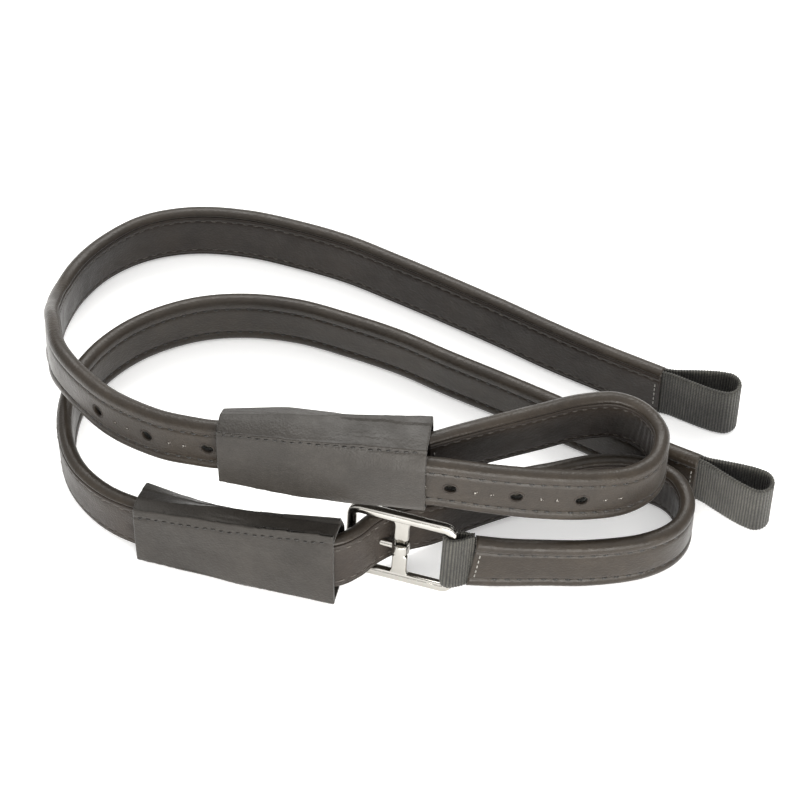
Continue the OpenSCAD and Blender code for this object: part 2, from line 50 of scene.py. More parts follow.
# Rows along each strap's centre: x, y, z and the tilt of its upper edge in x and y
ROUTES = {
    "a": [
        (100, 5, 13.2, 0, 0.04), (76, 17, 13, 0, 0.09), (56, 28, 13, 0, 0.12), (36, 40, 13, 0, 0.12),
        (15, 52, 13, 0, 0.12), (-5, 63, 13, 0, 0.12), (-26, 74, 13, 0, 0.12), (-47, 82, 13, 0, 0.12),
        (-68, 88, 13, 0, 0.10), (-90, 90, 13, 0, 0.08), (-110, 86, 13, 0, 0.05), (-126, 76, 13, 0.05, 0),
        (-137, 62, 14, 0.05, 0), (-143, 45, 17, 0.05, 0), (-144, 28, 25, 0.05, 0), (-142, 13, 35, 0.05, 0),
        (-138, -3, 41, 0.05, 0), (-128, -18, 43, 0, 0.05), (-115, -32, 45.5, 0, 0.08),
        (-98, -44, 49.5, 0, 0.08),
        (-84, -50, 52.3, 0, 0.06), (-72, -53, 53.8, 0, 0.06), (-59, -52, 53.8, 0, 0.06),
        (-46, -48.8, 53.8, 0, 0.06), (-38.2, -51.4, 53.8, 0, 0.06), (-33, -58.9, 53.8, 0, 0.06),
        (-28, -64.9, 53.8, 0, 0.06), (-20, -67, 53.8, 0, 0.06), (-8, -68.4, 53.8, 0, 0.06),
        (8, -69.8, 53.3, 0, 0.06), (30, -71.5, 50.6, 0, 0.08), (50, -71, 46.8, 0, 0.10),
        (68, -68.5, 42.8, 0, 0.08), (82, -64, 40, 0, 0.04), (92, -56, 39, 0, 0), (95, -44, 39, 0, 0),
        (89, -34, 40, 0, 0), (78, -30, 42, 0, 0), (64, -33, 44.5, 0, 0), (48, -40.5, 48, 0, 0),
        (30, -48.8, 51.5, 0, 0), (16, -55, 53.3, 0, 0.03), (5, -59.6, 53.8, 0, 0.06)],
    "b": [
        (112, -38, 13, 0, 0.02), (98, -31, 13, 0, 0.02), (80, -21, 13, 0, 0.02), (60, -10, 13, 0, 0),
        (36, 3, 13, 0, 0), (15, 14, 13, 0, 0), (-5, 25, 13, 0, 0), (-26, 34, 13, 0, 0),
        (-46, 41, 13, 0, 0), (-67, 44, 13, 0, 0), (-88, 42, 13, 0, 0), (-108, 34, 13, 0, 0),
        (-123, 22, 13, 0, 0), (-133, 7, 13, 0, 0), (-137, -9, 13, 0, 0), (-136, -26, 13, 0, 0),
        (-130, -41, 13, 0, 0), (-118, -54, 14, 0, 0.05), (-102, -63, 15.5, 0, 0.10),
        (-80, -71, 16.5, 0, 0.15),
        (-58, -77, 17, 0, 0.18), (-42, -81, 17.5, 0, 0.20), (-30, -81.5, 17.5, 0, 0.20),
        (-22, -77.5, 17.5, 0, 0.20), (-15, -71, 17.5, 0, 0.20), (-6, -65.5, 17.3, 0, 0.20),
        (8, -60, 15, 0, 0.15),
        (22, -53, 14, 0, 0.10), (38, -47, 14, 0, 0.05), (54, -42, 13, 0, 0), (72, -38, 13, 0, 0),
        (90, -39, 13, 0, 0), (102, -46, 13, 0, 0), (106, -58, 13, 0, 0), (101, -69, 13, 0, 0),
        (88, -76, 13, 0, 0.03), (68, -79, 13, 0, 0.05), (50, -79, 13, 0, 0.05), (34, -79.5, 14, 0, 0.10),
        (22.5, -80, 16, 0, 0.15)]}
# The side of the direction of travel that the outer leather faces
FACE = {"a": 1, "b": -1}
# Where each buckle's cross bar stands, its turn about z and its lean, in degrees
BUCKLE = {"a": ((-23, -58.6, 53.8), -6.5, 3.4), "b": ((-4.5, -74.7, 17.5), -17, 11.3)}
# Half the frame's length and height, to the middle of its bars
BAR_X = 20.0
BAR_Z = 15.2
TONGUE_L = 9.0
# How far the hole in use lies short of the tongue's tip
HOLE_SHORT = 1.2
HOLE_PITCH = 25.0
HOLE_R = 2.3
# Hole 0 is the one in use
HOLES = range(-4, 5)
# How far each bar loop turns off its strap's line, in degrees
BAR_LOOP_TURN = {"a": 12, "b": 0}
# Each sleeve's axis, and lines along it as (part of its length, y, z) in its own frame
SLEEVE = {
    "a": dict(start=(-73, -52.2, 53.8), end=(7, -64, 53.8), tilt=0.06,
              edge=[(0, -6.6, 13.7), (0.38, -9.4, 17.9), (0.6, -8.8, 18.6), (1, -7.2, 18.6)],
              crest=[(0, 0.5, 14.6), (0.2, 2.0, 17.0), (0.38, 3.5, 18.4), (0.7, 6.0, 19.4), (1, 9.4, 19.0)],
              hem=[(0, -5.8, -15.8), (0.38, -9.6, -15.4), (0.65, -10.4, -14.2), (1, -9.4, -14.4)]),
    "b": dict(start=(-106, -62.5, 16.6), end=(-28, -83.5, 20.3), tilt=0.16,
              edge=[(0, -4.8, 11.8), (0.5, -5.4, 14.6), (1, -4.4, 17.6)],
              crest=[(0, 0.5, 12.9), (0.5, 2.2, 15.8), (1, 6.2, 17.8)],
              hem=[(0, -4.6, -15.9), (0.5, -5.8, -17.4), (1, -5.6, -18.6)])}
SLEEVE_L = 80.0
SLEEVE_T = 1.1
# How far each sleeve slides along its strap, back and forward
SLEEVE_TRAVEL = {"a": (-12.0, 1.0), "b": (-3.8, 1.0)}
# How fast the leather falls back to its own line beside what lifts it
SLEEVE_EASE = 0.14
# How far the free end of a turned buckle frame swings out
BUCKLE_SWAY = 1.4
# The tongue's positions that a sleeve leaves room for, in degrees; tongue B swings outside its sleeve
TONGUE_SWINGS = {"a": (0, 50), "b": (0,)}
# Gap between a sleeve and what it holds, as it is drawn and at the deepest crease
SLEEVE_GAP = 0.3
CREASE_GAP = 0.12


def unit(v):
    return np.asarray(v, float) / np.linalg.norm(v)


def spline(rows, per=24):
    """The CAD's curve through its route rows."""
    r = np.array(rows, float)
    p = np.vstack([2 * r[0] - r[1], r, 2 * r[-1] - r[-2]])
    out = []
    for i in range(len(r) - 1):
        a, b, c, d = p[i:i + 4]
        for f in np.arange(per) / per:
            out.append((2 * b + (c - a) * f + (2 * a - 5 * b + 4 * c - d) * f * f
                        + (3 * b - a - 3 * c + d) * f ** 3) / 2)
    return np.array(out + [r[-1]])


class Strap:
    """Evenly spaced stations along a strap: centre, travel, out and up."""

    def __init__(self, name, step=0.8):
        c = spline(ROUTES[name])
        s = np.r_[0, np.cumsum(np.linalg.norm(np.diff(c[:, :3], axis=0), axis=1))]
        self.length = s[-1]
        self.d = np.linspace(0, s[-1], int(round(s[-1] / step)) + 1)
        c = np.array([np.interp(self.d, s, c[:, k]) for k in range(5)]).T
        self.c = c[:, :3] + SHIFT
        t = np.gradient(self.c, axis=0)
        self.t = t / np.linalg.norm(t, axis=1)[:, None]
        v = np.column_stack([c[:, 3], c[:, 4], np.ones(len(c))])
        u = v - (v * self.t).sum(1)[:, None] * self.t
        self.up = u / np.linalg.norm(u, axis=1)[:, None]
        self.out = np.cross(self.t, self.up) * FACE[name]
        turn = np.gradient(self.t, axis=0) / np.gradient(self.d)[:, None]
        # Positive where the lining is on the inside of the bend
        self.bend = -(turn * self.out).sum(1)
        kernel = np.hanning(9) / np.hanning(9).sum()
        self.bend = np.convolve(self.bend, kernel, "same")

    def at(self, d):
        d = np.clip(d, 0, self.length)
        rows = [np.array([np.interp(d, self.d, q[:, k]) for k in range(3)]).T
                for q in (self.c, self.t, self.up, self.out)]
        return rows

    def foot(self, p):
        return self.d[np.linalg.norm(self.c - p, axis=1).argmin()]


STRAPS = {n: Strap(n) for n in "ab"}


def turned(v, deg):
    a = math.radians(deg)
    return np.array([v[0] * math.cos(a) - v[1] * math.sin(a), v[0] * math.sin(a) + v[1] * math.cos(a), v[2]])


def buckle_frame_at(n):
    at, turn, tilt = BUCKLE[n]
    t = math.radians(tilt)
    return np.array(at) + SHIFT, turned((1, 0, 0), turn), turned((0, math.sin(t), math.cos(t)), turn)


def hole_places(n):
    at, x, _ = buckle_frame_at(n)
    first = STRAPS[n].foot(at - (TONGUE_L - HOLE_SHORT) * x)
    return [first + k * HOLE_PITCH for k in HOLES]


# ---- Meshes ----

def new_mesh(name, verts, faces, uv=None, smooth=True):
    """A mesh object from millimetres, with an optional UV for each vertex."""
    me = bpy.data.meshes.new(name)
    me.from_pydata((np.asarray(verts) * MM).tolist(), [], faces)
    me.update()
    if uv is not None:
        layer = me.uv_layers.new(name="run")
        index = np.empty(len(me.loops), dtype=np.int32)
        me.loops.foreach_get("vertex_index", index)
        layer.data.foreach_set("uv", np.asarray(uv, np.float32)[index].ravel())
    if smooth:
        me.polygons.foreach_set("use_smooth", [True] * len(me.polygons))
    ob = bpy.data.objects.new(name, me)
    bpy.context.scene.collection.objects.link(ob)
    return ob


def grid_faces(rows, cols, closed=True, flip=False):
    out = []
    for i in range(rows - 1):
        for k in range(cols if closed else cols - 1):
            a, b = i * cols + k, i * cols + (k + 1) % cols
            q = (a, b, b + cols, a + cols)
            out.append(q[::-1] if flip else q)
    return out


def tube(name, rings, uv=None, flip=False, caps=True):
    """A closed skin over rings of points, all with the same number of points."""
    m, n = len(rings), len(rings[0])
    faces = grid_faces(m, n, flip=flip)
    if caps:
        first, last = list(range(n)), list(range((m - 1) * n, m * n))
        faces += [first if flip else first[::-1], last[::-1] if flip else last]
    return new_mesh(name, np.concatenate(rings), faces, uv)


def mirrored(half):
    """A section's upper half, from the lining lip round to the outer middle, made whole."""
    return half + [(x, -z) for x, z in reversed(half[:-1])]


def smooth_noise(x, y, seed, cell):
    """Repeatable smooth noise from -1 to 1 over millimetres."""
    x, y = np.asarray(x) / cell, np.asarray(y) / cell
    ix, iy = np.floor(x), np.floor(y)
    fx, fy = x - ix, y - iy
    fx, fy = fx * fx * (3 - 2 * fx), fy * fy * (3 - 2 * fy)

    def value(a, b):
        h = np.sin(a * 127.1 + b * 311.7 + seed * 74.7) * 43758.5453
        return 2 * (h - np.floor(h)) - 1
    top = value(ix, iy) * (1 - fx) + value(ix + 1, iy) * fx
    low = value(ix, iy + 1) * (1 - fx) + value(ix + 1, iy + 1) * fx
    return top * (1 - fy) + low * fy


# ---- The strap's cover and lining ----

OUT_STITCH_Z = 7.2
LINING_STITCH_Z = 8.1
ROLL = [(0.15 + 3.1 * math.cos(math.radians(a)), 9.25 + 3.25 * math.sin(math.radians(a)) ** 0.9)
        for a in range(150, 10, -15)]
COVER_HALF = [(-1.9, 10.2), (-2.3, 10.3), (-2.62, 10.5)] + ROLL + [
    (3.2, 8.9), (3.05, 8.3), (2.76, 7.75), (2.5, 7.45), (2.36, 7.2), (2.46, 6.95), (2.72, 6.6),
    (2.92, 6.0), (3.02, 5.0), (3.07, 4.0), (3.1, 3.0), (3.12, 2.0), (3.13, 1.0), (3.13, 0)]
COVER_BACK = [(-1.5, -9.9), (-1.6, -10.6), (0, -11.4), (1.9, -9.2), (1.95, -6), (2.0, 0),
              (1.95, 6), (1.9, 9.2), (0, 11.4), (-1.6, 10.6), (-1.5, 9.9)]
COVER = mirrored(COVER_HALF) + COVER_BACK
LINING_HALF = [(-1.9, 10.05), (-2.35, 10.1), (-2.75, 9.98), (-2.98, 9.65), (-3.05, 9.2), (-3.0, 8.6),
               (-2.86, 8.3), (-2.8, 8.1), (-2.86, 7.9), (-2.98, 7.5), (-3.02, 6.5), (-3.03, 5), (-3.02, 3.5),
               (-3.0, 2), (-2.99, 1), (-2.98, 0)]
LINING = mirrored(LINING_HALF) + [(-1.75, -6), (-1.75, 6)]


def section_out(section, z, sign):
    """How far out a section's surface stands at a height, on the outer or the lining side."""
    pts = [(q[1], q[0]) for q in section if q[0] * sign > 2.2]
    pts.sort()
    return float(np.interp(z, [p[0] for p in pts], [p[1] for p in pts]))


def swept(name, n, section, lining):
    """The cover or the lining, with dimples at its holes and puckers inside its bends."""
    s = STRAPS[n]
    sec = np.array(section)
    along = np.cumsum(np.r_[0, np.linalg.norm(np.diff(sec, axis=0), axis=1)])
    d = s.d[:, None]
    x = np.repeat(sec[None, :, 0], len(s.d), 0)
    z = np.repeat(sec[None, :, 1], len(s.d), 0)
    face = x < -2.2 if lining else x > 2.4
    dip = np.zeros_like(x)
    for h in hole_places(n):
        r2 = (d - h) ** 2 + z ** 2
        dip += 0.38 * np.exp(-r2 / 7.0)
    wave = 0.10 * smooth_noise(np.repeat(d, x.shape[1], 1), z, 3 if n == "a" else 8, 21)
    x = x + np.where(face, (dip - 0.3 * wave) * (1 if lining else -1), 0)
    tight = np.clip(s.bend[:, None] * (1 if lining else -1) - 0.02, 0, 0.06) / 0.06
    fold = np.sin(d * 2 * math.pi / 3.1 + 1.4 * smooth_noise(d, z * 0.3, 5, 9))
    flat = np.clip((9.9 - abs(z)) / 2.0, 0, 1)
    x = x + np.where(face, tight * flat * 0.24 * (fold + 0.3) * (1 if lining else -1), 0)
    p = s.c[:, None, :] + s.out[:, None, :] * x[..., None] + s.up[:, None, :] * z[..., None]
    uv = np.stack([np.repeat(d, x.shape[1], 1), np.repeat(along[None], len(s.d), 0)], -1).reshape(-1, 2)
    return tube(name, list(p), uv, flip=FACE[n] > 0)


def punch(ob, n):
    """Cuts the row of holes right through a piece."""
    s = STRAPS[n]
    rings = []
    for h in hole_places(n):
        c, t, up, out = s.at(h)
        a = np.linspace(0, 2 * math.pi, 28, endpoint=False)
        oval = np.outer(np.cos(a) * HOLE_R * 1.06, t) + np.outer(np.sin(a) * HOLE_R * 0.9, up)
        rings.append([c + oval + out * w for w in (-6, 6)])
    verts, faces = [], []
    for r in rings:
        base = len(verts)
        for ring in r:
            verts += list(ring)
        m = len(r[0])
        low, top = list(range(base, base + m)), list(range(base + m, base + 2 * m))
        faces += [(low[k], low[(k + 1) % m], top[(k + 1) % m], top[k]) for k in range(m)]
        faces += [low[::-1], top]
    cutter = new_mesh("cutter", verts, faces, smooth=False)
    mesh = cutter.data
    bpy.context.view_layer.update()
    mod = ob.modifiers.new("holes", "BOOLEAN")
    mod.operation = "DIFFERENCE"
    mod.solver = "EXACT"
    mod.object = cutter
    bpy.context.view_layer.update()
    graph = bpy.context.evaluated_depsgraph_get()
    done = bpy.data.meshes.new_from_object(ob.evaluated_get(graph), depsgraph=graph)
    ob.modifiers.clear()
    old = ob.data
    ob.data = done
    bpy.data.meshes.remove(old)
    bpy.data.objects.remove(cutter)
    bpy.data.meshes.remove(mesh)
    return ob


# ---- Thread ----

STITCH_RING = [(math.cos(a), math.sin(a)) for a in np.linspace(0, 2 * math.pi, 8, endpoint=False)]


def stitch_mesh(name, paths, width=0.34, height=0.3):
    """Threads: each path is rows of (centre, across, out of the surface)."""
    verts, faces = [], []
    for path in paths:
        base = len(verts)
        m = len(path)
        for i, (c, across, out) in enumerate(path):
            f = i / (m - 1)
            swell = math.sin(math.pi * f) ** 0.45 if 0 < f < 1 else 0.25
            for x, y in STITCH_RING:
                verts.append(c + across * x * width * swell + out * y * height * swell)
        n = len(STITCH_RING)
        for i in range(m - 1):
            for k in range(n):
                a, b = base + i * n + k, base + i * n + (k + 1) % n
                faces.append((a, b, b + n, a + n))
        faces.append(tuple(base + k for k in range(n))[::-1])
        faces.append(tuple(base + (m - 1) * n + k for k in range(n)))
    return new_mesh(name, verts, faces)


def strap_stitches(n, sign, z, pitch, length):
    """One row of stitches along a strap; sign is 1 on the outer face and -1 on the lining."""
    s = STRAPS[n]
    section = COVER if sign > 0 else LINING
    level = section_out(section, abs(z), sign)
    paths = []
    high = 0.28 if sign > 0 else 0.16
    count = int((s.length - 5) / pitch)
    for k in range(count):
        d0 = 2.6 + k * pitch
        wobble = 0.12 * math.sin(k * 2.3 + z)
        path = []
        for f in np.linspace(0, 1, 6):
            c, _, up, out = s.at(d0 + f * length)
            lift = high * math.sin(math.pi * f) - 0.3 * (abs(2 * f - 1) ** 4)
            path.append((c + out * (level + sign * lift) + up * (z + wobble * (f - 0.5)), up, out * sign))
        paths.append(path)
    return paths


def end_stitches(n, at_end):
    """A row of stitches across the strap near one end, on both faces."""
    s = STRAPS[n]
    d = s.length - 2.0 if at_end else 2.0
    c, t, up, out = s.at(d)
    paths = []
    for sign, section in ((1, COVER), (-1, LINING)):
        for z0 in np.arange(-6.4, 6.0, 2.6):
            path = []
            for f in np.linspace(0, 1, 5):
                z = z0 + 2.0 * f
                level = section_out(section, abs(z), sign)
                lift = 0.18 * math.sin(math.pi * f) - 0.25 * (abs(2 * f - 1) ** 4)
                path.append((c + out * (level + sign * lift) + up * z, t, out * sign))
            paths.append(path)
    return paths


# ---- Webbing ----

RIB = 1.15
WEB_T = 1.7
WEB_W = 25.0


def webbing(name, line, origin, x_dir, up):
    """Ribbed webbing on its edge along a flat line of points, given in a local frame."""
    line = np.array(line, float)
    s = np.r_[0, np.cumsum(np.linalg.norm(np.diff(line, axis=0), axis=1))]
    d = np.arange(0, s[-1], RIB / 6)
    p = np.array([np.interp(d, s, line[:, k]) for k in range(2)]).T
    t = np.gradient(p, axis=0)
    t = t / np.linalg.norm(t, axis=1)[:, None]
    side = np.column_stack([t[:, 1], -t[:, 0]])
    y_dir = np.cross(up, x_dir)
    flat_top = WEB_W / 2 - 0.6
    zs = np.linspace(-flat_top, flat_top, 15)
    rings = []
    for i, q in enumerate(d):
        ph = 2 * math.pi * q / RIB
        ha = WEB_T / 2 * (0.80 + 0.20 * math.cos(ph))
        hb = WEB_T / 2 * (0.80 + 0.20 * math.cos(ph + math.pi))
        top = WEB_W / 2 - 0.22 * (1 - math.cos(ph + 1.3)) / 2
        arc = [(math.cos(math.radians(a)), flat_top + (top - flat_top) * math.sin(math.radians(a)))
               for a in (30, 60, 90)]
        ring = [(ha, z) for z in zs] + [(ha * y, z) for y, z in arc]
        ring += [(-hb * y, z) for y, z in arc[1::-1]] + [(-hb, z) for z in zs[::-1]]
        ring += [(-hb * y, -z) for y, z in arc] + [(ha * y, -z) for y, z in arc[1::-1]]
        ring = np.array(ring)
        flat = p[i] + side[i] * ring[:, :1]
        rings.append(origin + flat[:, :1] * x_dir + flat[:, 1:] * y_dir + ring[:, 1:] * up)
    uv = np.array([(q, k) for q in d for k in range(len(rings[0]))], float)
    return tube(name, rings, uv, flip=True)


def bar_loop_line():
    """Centre line of the stirrup-bar loop, seen from above, from the leather out and back."""
    r, end = 5.1, 31 - 4.25 - 1.7
    half = [(-1.2, 0.9), (0.6, 0.92), (3.5, 1.15), (7, 1.95), (12, 3.15), (17, 4.25), (21.5, 4.95)]
    arc = [(end + r * math.sin(math.radians(a)), r * math.cos(math.radians(a))) for a in range(0, 181, 10)]
    pts = half + arc + [(x, -y) for x, y in reversed(half)]
    return spline([(x, y, 0, 0, 0) for x, y in pts], 6)[:, :2]


def bar_loop(n):
    s = STRAPS[n]
    c, t, up, _ = s.at(0.0)
    x = unit(-t)
    a = math.radians(BAR_LOOP_TURN[n])
    x = x * math.cos(a) + np.cross(up, x) * math.sin(a)
    return webbing("webbing_loop_" + n, bar_loop_line(), c + x * (0.6 if n == "a" else 0), x, up)


def buckle_loop(n):
    """Webbing from the strap's end round the buckle's end bar and back."""
    s = STRAPS[n]
    at, bx, up = buckle_frame_at(n)
    bar = at + BAR_X * bx
    v = s.c[-1] - bar
    v = v - (v @ up) * up
    reach = np.linalg.norm(v)
    x = v / reach
    r = 2.06 + WEB_T / 2
    arc = [(r * math.cos(math.radians(a)), r * math.sin(math.radians(a))) for a in range(80, 281, 10)]
    near = [(reach + 0.6, 0.88), (reach - 1.2, 0.95), (reach * 0.55, 1.9)]
    pts = near + arc + [(px, -py) for px, py in reversed(near)]
    return webbing("webbing_end_" + n, spline([(px, py, 0, 0, 0) for px, py in pts], 6)[:, :2], bar, x, up)


# ---- Buckle ----

def rounded_bar(w, h, r, k):
    """A rectangle with soft corners of k points each, as (across, up)."""
    pts = []
    for sx, sy, start in ((1, 1, 0), (-1, 1, 90), (-1, -1, 180), (1, -1, 270)):
        for deg in np.linspace(start, start + 90, k):
            a = math.radians(deg)
            pts.append((sx * (w / 2 - r) + r * math.cos(a), sy * (h / 2 - r) + r * math.sin(a)))
    return pts


def local_points(n, pts):
    at, x, up = buckle_frame_at(n)
    y = np.cross(up, x)
    pts = np.asarray(pts, float)
    return at + pts[:, :1] * x + pts[:, 1:2] * y + pts[:, 2:] * up


def frame_ring(n):
    """The buckle's rounded frame: a bar with soft corners swept round a rounded rectangle."""
    path = rounded_bar(2 * BAR_X, 2 * BAR_Z, 3.2, 10)
    dense = []
    m = len(path)
    for i in range(m):
        p, q = np.array(path[i]), np.array(path[(i + 1) % m])
        steps = max(1, int(np.linalg.norm(q - p) / 2.5))
        dense += [p + (q - p) * f for f in np.arange(steps) / steps]
    path = np.array(dense)
    m = len(path)
    section = rounded_bar(3.9, 3.9, 1.35, 6)
    verts = []
    for i in range(m):
        t = unit(path[(i + 1) % m] - path[i - 1])
        nrm = np.array([t[1], -t[0]])
        for a, b in section:
            q = path[i] + nrm * a
            verts.append((q[0], b, q[1]))
    k = len(section)
    faces = []
    for i in range(m):
        for j in range(k):
            a, b = i * k + j, i * k + (j + 1) % k
            c, e = ((i + 1) % m) * k + (j + 1) % k, ((i + 1) % m) * k + j
            faces.append((a, e, c, b))
    return local_points(n, verts), faces


def cross_bar(n):
    """The flat bar across the frame, flared into it and waisted where the tongue turns."""
    above = np.concatenate([np.linspace(3.5, 5.0, 6), np.linspace(5.6, BAR_Z - 5.5, 5),
                            np.linspace(BAR_Z - 4.5, BAR_Z, 8)])
    zs = np.concatenate([-above[::-1], np.linspace(-3, 3, 5), above])
    rings = []
    for z in zs:
        away = BAR_Z - abs(z)
        half = 3.0 + 2.4 * max(0, 1 - away / 4.5) ** 2.2
        f = min(1, max(0, (5.0 - abs(z)) / 1.5))
        half -= f * f * (3 - 2 * f)
        rings.append([(a, b, z) for a, b in rounded_bar(2 * half, 2.5, 0.85, 5)])
    k = len(rings[0])
    verts = [p for r in rings for p in r]
    faces = grid_faces(len(rings), k)
    faces += [tuple(range(k))[::-1], tuple(range(len(verts) - k, len(verts)))]
    return local_points(n, verts), faces


def tongue_parts(n):
    """The tongue: a collar round the waist and a short blunt prong towards the strap."""
    section = rounded_bar(0.95, 4.4, 0.42, 5)
    m = 40
    verts, faces = [], []
    for i in range(m):
        a = 2 * math.pi * i / m
        for b, z in section:
            r = 3.03 + b
            verts.append((r * math.cos(a), r * math.sin(a), z))
    k = len(section)
    for i in range(m):
        for j in range(k):
            here, ahead = i * k, ((i + 1) % m) * k
            up = (j + 1) % k
            faces.append((here + j, ahead + j, ahead + up, here + up))
    base = len(verts)
    prong = []
    around = 20
    for f in np.linspace(0, 1, 22):
        x = -2.7 - (TONGUE_L - 2.7) * f
        r = 1.28 - 0.12 * f
        end = max(0.0, 1 - ((f - 0.84) / 0.16) ** 2) if f > 0.84 else 1.0
        r *= math.sqrt(max(end, 0.0009))
        prong.append([(x, r * math.cos(a), r * 1.1 * math.sin(a))
                      for a in np.linspace(0, 2 * math.pi, around, endpoint=False)])
    for ring in prong:
        verts += ring
    tip = base + (len(prong) - 1) * around
    faces += [tuple(base + q for q in fc) for fc in grid_faces(len(prong), around)]
    faces += [tuple(base + q for q in range(around))[::-1], tuple(tip + q for q in range(around))]
    return local_points(n, verts), faces


# ---- Sleeve ----

SEAM_PITCH = 3.3
# How far the stitches lie below each sleeve's sewn edge
SEAM_DROP = {"a": 1.7, "b": 4.2}
# Creases along sleeve A's top: distance above the sewn edge, slope, width, depth and where they begin
CREASES = ((-3.2, 1.6, 0.5, 0.6, 0.30), (-5.6, -1.2, 0.55, 0.7, 0.42), (-8.2, -2.2, 0.6, 0.55, 0.5))
# Swells and hollows in each front: height, place and width along it, then middle and half height
SWELLS = {
    "a": ((-1.1, 0.33, 0.13, -7, 7), (-0.5, 0.16, 0.07, 3, 7), (0.4, 0.62, 0.12, -2, 9),
          (-0.5, 0.82, 0.07, -6, 9)),
    "b": ((-0.5, 0.3, 0.2, -4, 8), (-0.45, 0.66, 0.12, 5, 5), (0.35, 0.85, 0.1, -6, 8))}


class Sleeve:
    """A soft tube of leather drawn round what it holds, with a sewn edge along its front."""

    def __init__(self, n):
        self.n = n
        q = SLEEVE[n]
        self.o = np.array(q["start"]) + SHIFT
        self.x = unit(np.array(q["end"], float) - np.array(q["start"], float))
        v = np.array([0, q["tilt"], 1.0])
        self.z = unit(v - (v @ self.x) * self.x)
        self.y = np.cross(self.z, self.x)
        self.lines = {k: np.array(q[k]) for k in ("edge", "crest", "hem")}
        self.theta = np.linspace(0, 2 * math.pi, 361)[:-1]
        self.us = np.r_[0, 0.0025, 0.006, np.linspace(0.012, 0.988, 118), 0.994, 0.9975, 1]
        self.discs = self.contents()
        self.reach = self.wrap()

    def local(self, p):
        d = np.asarray(p) - self.o
        return np.stack([d @ self.x, d @ self.y, d @ self.z], -1)

    def contents(self):
        """Discs (along, y, z, radius) that the tube has to go round."""
        s = STRAPS[self.n]
        discs = []
        # The strap: its two rolls and its middle
        for z in (-9.25, 0, 9.25):
            p = self.local(s.c + s.up * z)
            discs.append(np.column_stack([p, np.full(len(p), 3.3)]))
        # The buckle's long bars, at rest and swung either way on the webbing
        at, x, up = buckle_frame_at(self.n)
        for bx in np.linspace(-BAR_X, BAR_X, 21):
            for z in (-BAR_Z, BAR_Z):
                for sway in (-BUCKLE_SWAY, 0, BUCKLE_SWAY):
                    p = self.local(at + bx * x + z * up)
                    discs.append(np.array([[p[0], p[1] + sway * (0.5 - bx / BAR_X / 2), p[2], 2.2]]))
        # The webbing from the strap's end to the buckle
        loop = s.c[-1]
        for f in np.linspace(0, 1, 9):
            for z in (-11, 11):
                discs.append(np.array([[*self.local(loop * f + (at + BAR_X * x) * (1 - f) + z * up), 3.2]]))
        # The tongue at its limits, in degrees
        for swing in TONGUE_SWINGS[self.n]:
            a = math.radians(swing)
            for f in np.linspace(0.3, 1, 8):
                p = self.local(at - TONGUE_L * f * math.cos(a) * x)
                p[1] += TONGUE_L * f * math.sin(a)
                discs.append(np.array([[*p, 1.9]]))
        d = np.concatenate(discs)
        return d[(abs(d[:, 1]) < 11) & (abs(d[:, 2]) < 17) & (d[:, 0] > -26) & (d[:, 0] < SLEEVE_L + 4)]

    def support(self, g, ny, nz):
        """How far the contents reach in each direction near g over the travel, easing off along the tube."""
        back, forward = SLEEVE_TRAVEL[self.n]
        along, y, z, r = self.discs.T
        away = np.maximum(0, np.maximum(g + back - 1.5 - along, along - g - forward - 1.5))
        return (np.outer(y, ny) + np.outer(z, nz) + (r - SLEEVE_EASE * away)[:, None]).max(0)

    def wrap(self):
        """Support distance in every direction at evenly spaced places along the tube."""
        ny, nz = np.cos(self.theta), np.sin(self.theta)
        grid = np.linspace(-8, SLEEVE_L, 89)
        table = np.zeros((len(grid), len(self.theta)))
        for i, g in enumerate(grid):
            table[i] = self.support(g, ny, nz) + SLEEVE_GAP + SLEEVE_T
            for line in self.lines:
                y, z = self.line_at(line, g / SLEEVE_L)
                table[i] = np.maximum(table[i], y * ny + z * nz)
        kernel = np.hanning(17) / np.hanning(17).sum()
        pad = np.vstack([table, np.repeat(table[-1:], 8, 0)])
        table = np.array([np.convolve(pad[:, k], kernel, "valid") for k in range(table.shape[1])]).T
        soft = np.hanning(11) / np.hanning(11).sum()
        wide = np.hstack([table[:, -5:], table, table[:, :5]])
        return np.array([np.convolve(r, soft, "valid") for r in wide])

    def section(self, u, count=190):
        """Outline at u from the support distances: y, z and the outward normal, evenly spaced."""
        g = u * (len(self.reach) - 1)
        i = min(int(g), len(self.reach) - 2)
        h = self.reach[i] * (1 - g + i) + self.reach[i + 1] * (g - i)
        slope = (np.roll(h, -1) - np.roll(h, 1)) / (2 * self.theta[1])
        c, s = np.cos(self.theta), np.sin(self.theta)
        y, z = h * c - slope * s, h * s + slope * c
        y, z = np.r_[y, y[0]], np.r_[z, z[0]]
        run = np.r_[0, np.cumsum(np.hypot(np.diff(y), np.diff(z)) + 1e-9)]
        t = np.linspace(0, run[-1], count, endpoint=False)
        turn = np.interp(t, run, np.r_[self.theta, 2 * math.pi])
        return np.interp(t, run, y), np.interp(t, run, z), np.cos(turn), np.sin(turn)

    def line_at(self, line, u):
        q = self.lines[line]
        return np.array([np.interp(u, q[:, 0], q[:, 1]), np.interp(u, q[:, 0], q[:, 2])])

    def down(self, u, y, z):
        """Distance down the front from the sewn edge; negative over the top and back."""
        ey, ez = self.line_at("edge", u)
        k = int(np.argmin((y - ey) ** 2 + (z - ez) ** 2))
        step = np.hypot(np.diff(np.r_[y, y[0]]), np.diff(np.r_[z, z[0]]))
        run = np.r_[0, np.cumsum(step)]
        d = run[:-1] - run[k]
        total = run[-1]
        d = (d + total / 2) % total - total / 2
        return d

